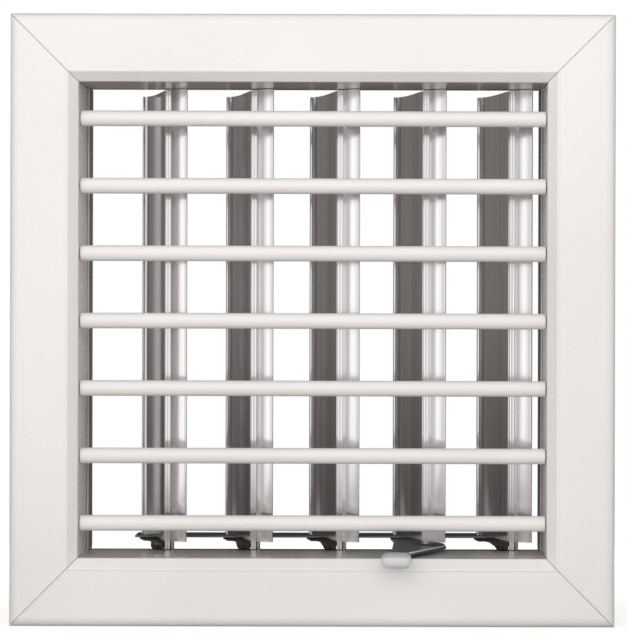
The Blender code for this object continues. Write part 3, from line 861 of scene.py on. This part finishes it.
def crank_mesh():
    """A plate that runs back from the pin and reaches left to its eye under the bar, over a deep hub
    beside the rib with a round boss on its front. A slot lets the rib through. It is cut well past
    the plate's front and right edges, so that the plate is open there."""
    foot = -rib_end_z
    left = -hub_left
    right = left + hub_width
    eye = arc(link_offset, (link_eye_radius, link_eye_radius), 20, 200, eye_steps)
    corners = [(left, -hub_front), (plate_right, -hub_front), (plate_right, plate_side_end),
               plate_rear, *eye, plate_waist]
    radius = [fine_fillet, fine_fillet, crank_corner, crank_corner, *[0] * len(eye), crank_waist_radius]
    arm = mesh_of(carried(filleted(corners, radius), arm_bottom_z + inset_step, arm_top_z))
    hub_top = arm_top_z - inset_step
    hub_side = left + inset_step
    ring = [(hub_side, foot + hub_chamfer), (hub_side + hub_chamfer, foot), (right, foot),
            (right, hub_top), (hub_side, hub_top)]
    hub_ring = filleted(ring, fine_fillet)
    hub = mesh_of(carried(hub_ring, inset_step - hub_front, hub_back, fine_edge, (0, 2, 1)))
    boss = rod((left + boss_from_hub_left, -hub_front), boss_radius, foot + inset_step,
               hub_top - inset_step, fine_edge)
    slot_left = -rib_left - seat_gap
    slot_right = hub_left
    slot_front = -2 * hub_front
    slot_back = rib_back + seat_gap
    slot = np.array([(slot_left, slot_front), (slot_right, slot_front),
                     (slot_right, slot_back), (slot_left, slot_back)])
    rib_slot = mesh_of(carried(slot, foot - plate_thickness, vane_bottom_z))
    rivet_hole = rod(link_offset, rivet_radius + running_gap, foot, vane_bottom_z)
    return combined(arm, added=[hub, boss], removed=[rib_slot, rivet_hole])


def lever_mesh():
    """Bell-crank plate: link eye behind the pin, heel beside it with a folded rim along the
    right edge, and a tongue that enters the knob."""
    tongue_end = knob_offset[1] + knob_depth / 2 - tongue_into_knob
    tongue_left = knob_offset[0] - tongue_width / 2
    tongue_right = knob_offset[0] + tongue_width / 2
    shoulder = lever_neck_left[1] - tongue_shoulder
    eye = arc(link_offset, (link_eye_radius, link_eye_radius), 60, 190, eye_steps)
    outline = [(tongue_left, tongue_end), (tongue_right, tongue_end), (tongue_right, shoulder),
               lever_neck_right, lever_heel, lever_side, lever_shoulder, *eye, lever_waist,
               lever_neck_left, (tongue_left, shoulder)]
    radius = [0, 0, lever_fillet, 0, lever_heel_radius, lever_side_radius, lever_waist_radius,
              *[0] * len(eye), lever_waist_radius, lever_fillet, lever_fillet]
    plate = mesh_of(carried(filleted(outline, radius), arm_bottom_z, arm_top_z, lever_edge))
    start, end = np.array(lever_neck_right), np.array(lever_heel)
    run = (end - start) / np.linalg.norm(end - start)
    across = np.array([-run[1], run[0]])
    start, end = start - across * inset_step, end - across * inset_step
    inset = across * rim_thickness
    rim_ring = filleted([start, end, end + inset, start + inset], fine_fillet)
    rim = mesh_of(carried(rim_ring, arm_bottom_z + inset_step, arm_bottom_z + rim_height, fine_fillet))
    pin_hole = rod((0, 0), pin_radius + seat_gap, arm_bottom_z - plate_thickness, bar_top_z)
    rivet_hole = rod(link_offset, rivet_radius + running_gap, arm_bottom_z - plate_thickness, bar_top_z)
    return combined(plate, added=[rim], removed=[pin_hole, rivet_hole])


def knob_mesh():
    """A rounded cap: a rounded rectangle drawn in along a quarter circle at top and bottom, with
    a slot at its back for the lever's tongue."""
    half_x, half_y = knob_width / 2, knob_depth / 2
    corners = np.array([(half_x, -half_y), (half_x, half_y), (-half_x, half_y), (-half_x, -half_y)])
    ring = filleted(corners + knob_offset, knob_corner, knob_steps)
    cap = mesh_of(carried(ring, knob_top_z - knob_height, knob_top_z, knob_edge))
    slot_left = knob_offset[0] - tongue_width / 2 - seat_gap
    slot_right = knob_offset[0] + tongue_width / 2 + seat_gap
    knob_back = knob_offset[1] + half_y
    slot_end = knob_back - tongue_into_knob - seat_gap
    slot = np.array([(slot_left, slot_end), (slot_right, slot_end),
                     (slot_right, knob_back + knob_edge), (slot_left, knob_back + knob_edge)])
    pocket = mesh_of(carried(slot, arm_bottom_z - seat_gap, arm_top_z + seat_gap))
    return combined(cap, removed=[pocket])


def build_vanes(finish):
    """Five vanes with their pins, four cranks, and the lever, collar and knob of one vane."""
    plain_vane = vane_mesh(-rib_end_z)
    lever_side_vane = vane_mesh(arm_top_z + seat_gap)
    crank = crank_mesh()
    top_pin = rod((0, 0), pin_radius, vane_top_z - pin_depth_in_vane, pin_end_z, fine_edge)
    bottom_pin = rod((0, 0), pin_radius, -pin_end_z, vane_bottom_z + pin_depth_in_vane, fine_edge)
    for name in vane_names:
        place = axis_of(name) * (1, 1, 0)
        blade = lever_side_vane if name == lever_vane else plain_vane
        add_piece(name, placed(blade, place), finish["vane"], name)
        add_piece(name + "_top_pin", placed(top_pin, place), finish["pin"], name)
        add_piece(name + "_bottom_pin", placed(bottom_pin, place), finish["pin"], name)
        if name != lever_vane:
            node = name.replace("vane", "crank")
            add_piece(node, placed(crank, place), finish["crank"], name)
    place = axis_of(lever_vane) * (1, 1, 0)
    add_piece("lever", placed(lever_mesh(), place), finish["lever"], lever_vane)
    band = hull_outline([collar_round, collar_lobe])
    collar = combined(mesh_of(carried(band, arm_top_z + seat_gap, bar_top_z, thin_edge)),
                      removed=[rod((0, 0), pin_radius + press_gap, arm_bottom_z, vane_bottom_z)])
    add_piece("lever_collar", placed(collar, place), finish["pin"], lever_vane)
    add_piece("lever_knob", placed(knob_mesh(), place), finish["knob"], lever_vane)


def build_link(strip, zinc):
    """The flat bar that ties the cranks together, and the rivet at each crank."""
    centre = axis_of("link")[:2]
    eyes = [axis_of(name)[:2] + link_offset for name in vane_names]
    left = min(eye[0] for eye in eyes) - bar_left_overhang
    right = max(eye[0] for eye in eyes) + bar_right_overhang
    front = centre[1] - bar_front
    corners = [(left, front), (right, front), (right, front + bar_depth), (left, front + bar_depth)]
    bar = mesh_of(carried(filleted(corners, bar_corner), bar_bottom_z, bar_top_z, thin_edge))
    holes = [rod(eye, rivet_radius + running_gap, arm_bottom_z, vane_bottom_z) for eye in eyes]
    add_piece("link_bar", combined(bar, removed=[together(holes)]), strip, "link")
    head_top = arm_bottom_z - seat_gap
    dome = arc((0, head_top), (rivet_head_radius, rivet_head_height), -90, 0, dome_steps)
    dome[0, 0] = rivet_dome_flat
    profile = [*dome, (rivet_radius, head_top), (rivet_radius, bar_top_z - thin_edge),
               (rivet_radius - thin_edge, bar_top_z)]
    for name, eye in zip(vane_names, eyes):
        node = name.replace("vane", "link_rivet")
        add_piece(node, mesh_of(turned(profile, eye)), zinc, "link")


def build_floor():
    """A pale floor just under the grille. It keeps the shadow near the grille and is lifted to white
    for the camera, more so with distance, so that it runs into the white backdrop."""
    floor_z = -face_half_height - floor_gap
    points = [(-floor_side, floor_front, floor_z), (floor_side, floor_front, floor_z),
              (floor_side, floor_back, floor_z), (-floor_side, floor_back, floor_z)]
    mesh = bpy.data.meshes.new("floor")
    mesh.from_pydata(points, [], [(0, 1, 2, 3)])
    floor = bpy.data.objects.new("floor", mesh)
    bpy.context.scene.collection.objects.link(floor)
    made, tree, shader, place = start_material("pale_floor", Base_Color=linear("#C9C8C6"), Roughness=0.9,
                                               Emission_Color=linear("#FFFFFF"))
    away = add_node(tree, "ShaderNodeVectorMath", {}, {0: place}, operation="LENGTH").outputs["Value"]
    camera_only = add_node(tree, "ShaderNodeLightPath").outputs["Is Camera Ray"]
    lift = joined(tree, "MULTIPLY", spread_of(tree, away, *floor_by_distance), camera_only)
    feed(tree, shader, {"Emission Strength": lift})
    mesh.materials.append(made)


def build_world():
    """White for what the camera sees and for what metal shows straight behind the grille. All other
    rays meet a studio that is bright in front and to the sides, and a dim warm grey behind. Metal
    shows the pale and grey panels that stand in front, from the left to the right."""
    world = bpy.data.worlds.new("studio")
    bpy.context.scene.world = world
    world.use_nodes = True
    tree = world.node_tree
    background = tree.nodes["Background"]
    ray = add_node(tree, "ShaderNodeLightPath").outputs
    direction = add_node(tree, "ShaderNodeTexCoord").outputs["Object"]
    unit = add_node(tree, "ShaderNodeVectorMath", {}, {0: direction}, operation="NORMALIZE").outputs[0]
    side, depth, rise = axes(tree, unit)
    steepness = joined(tree, "ABSOLUTE", rise)
    front = spread_of(tree, depth, *front_by_depth)

    # What lights rough surfaces
    lighting = joined(tree, "MULTIPLY", spread_of(tree, front, *fill_by_front),
                      spread_of(tree, steepness, *fill_by_steepness))
    lighting = joined(tree, "MULTIPLY", lighting, spread_of(tree, rise, *fill_by_rise))

    # What metal mirrors: panels in front, a dim room behind, and paler flanks beside the backdrop
    panels = add_node(tree, "ShaderNodeValToRGB", {}, {0: spread_of(tree, side, -1, 1, 0, 1)})
    for side_x, grey in studio_panels:
        stop = panels.color_ramp.elements.new((side_x + 1) / 2)
        stop.color = (grey, grey, grey, 1)
    dim = spread_of(tree, rise, *dim_by_rise)
    room = add_node(tree, "ShaderNodeMix", {}, {0: front, 2: dim, 3: panels.outputs["Color"]}).outputs[0]
    room = joined(tree, "MULTIPLY", room, spread_of(tree, depth, *far_by_depth))
    flanks = spread_of(tree, joined(tree, "ABSOLUTE", side), *flanks_by_side)
    flanks = joined(tree, "MULTIPLY", spread_of(tree, depth, *flanks_by_depth), flanks)
    flanks = joined(tree, "MULTIPLY", flanks, spread_of(tree, steepness, *flanks_by_steepness))
    backdrop = spread_of(tree, depth, *backdrop_by_depth)
    shown = joined(tree, "MAXIMUM", joined(tree, "ADD", room, flanks), backdrop)

    # Which of the two a ray meets, with plain white for the camera
    mirrored = joined(tree, "MAXIMUM", ray["Is Glossy Ray"], ray["Is Transmission Ray"])
    lit = add_node(tree, "ShaderNodeMix", {}, {0: mirrored, 2: lighting, 3: shown}).outputs[0]
    seen = add_node(tree, "ShaderNodeMix", {3: 1.0}, {0: ray["Is Camera Ray"], 2: lit}).outputs[0]
    white = joined(tree, "MAXIMUM", front, ray["Is Camera Ray"])
    white = joined(tree, "MAXIMUM", white, backdrop)
    feed(tree, background, {"Color": blend(tree, white, "#FFFAF4", "#FFFFFF"), "Strength": seen})


def add_lamp(lamp, place):
    """A lamp at a place, facing the origin."""
    made = bpy.data.objects.new(lamp.name, lamp)
    bpy.context.scene.collection.objects.link(made)
    made.location = place
    heading = -np.array(place)
    yaw = math.atan2(heading[1], heading[0]) - math.pi / 2
    pitch = math.atan2(heading[2], math.hypot(heading[0], heading[1])) + math.pi / 2
    made.rotation_euler = (pitch, 0, yaw)
    return made


def build_lamps():
    """A wide softbox behind and above the camera, and a weak broad light from straight behind for
    the rear of the grille. Neither is mirrored: metal and gloss show the world's panels."""
    softbox = bpy.data.lights.new("key softbox", "AREA")
    softbox.shape = "RECTANGLE"
    softbox.size, softbox.size_y = softbox_size
    softbox.energy = softbox_power
    rear = bpy.data.lights.new("rear fill", "SUN")
    rear.energy = rear_strength
    rear.angle = math.radians(rear_spread)
    for lamp, place in ((softbox, softbox_place), (rear, rear_place)):
        add_lamp(lamp, place).visible_glossy = False


def build_camera():
    """A camera that looks straight at the face from the photograph's distance, rolled a little. Its
    axis meets the picture where the grille's depth lines run together."""
    picture_width, picture_height = 627, 640
    vanishing_x, vanishing_y = 385, 303
    focal_pixels = 2178.1
    sensor = 36
    data = bpy.data.cameras.new("camera")
    data.sensor_width = sensor
    data.lens = sensor * focal_pixels / picture_height
    data.shift_x = (picture_width / 2 - vanishing_x) / picture_height
    data.shift_y = (vanishing_y - picture_height / 2) / picture_height
    data.clip_start = 0.01
    camera = bpy.data.objects.new("camera", data)
    bpy.context.scene.collection.objects.link(camera)
    camera.location = camera_place
    camera.rotation_euler = (math.pi / 2, math.radians(camera_roll), 0)
    bpy.context.scene.camera = camera


paint = powder_coat()
zinc = zinc_plate()
nylon = moulded_nylon()
build_frame(paint)
build_corner_keys(zinc)
build_side_strips(paint)
build_slats(paint, nylon)
build_vanes({"vane": extruded_aluminium(), "pin": zinc, "crank": black_polyamide(),
             "lever": stamped_steel(), "knob": knob_plastic()})
build_link(strip_with_painted_highlight(), zinc)

bpy.context.scene.view_settings.view_transform = "Standard"
build_camera()
build_floor()
build_world()
build_lamps()
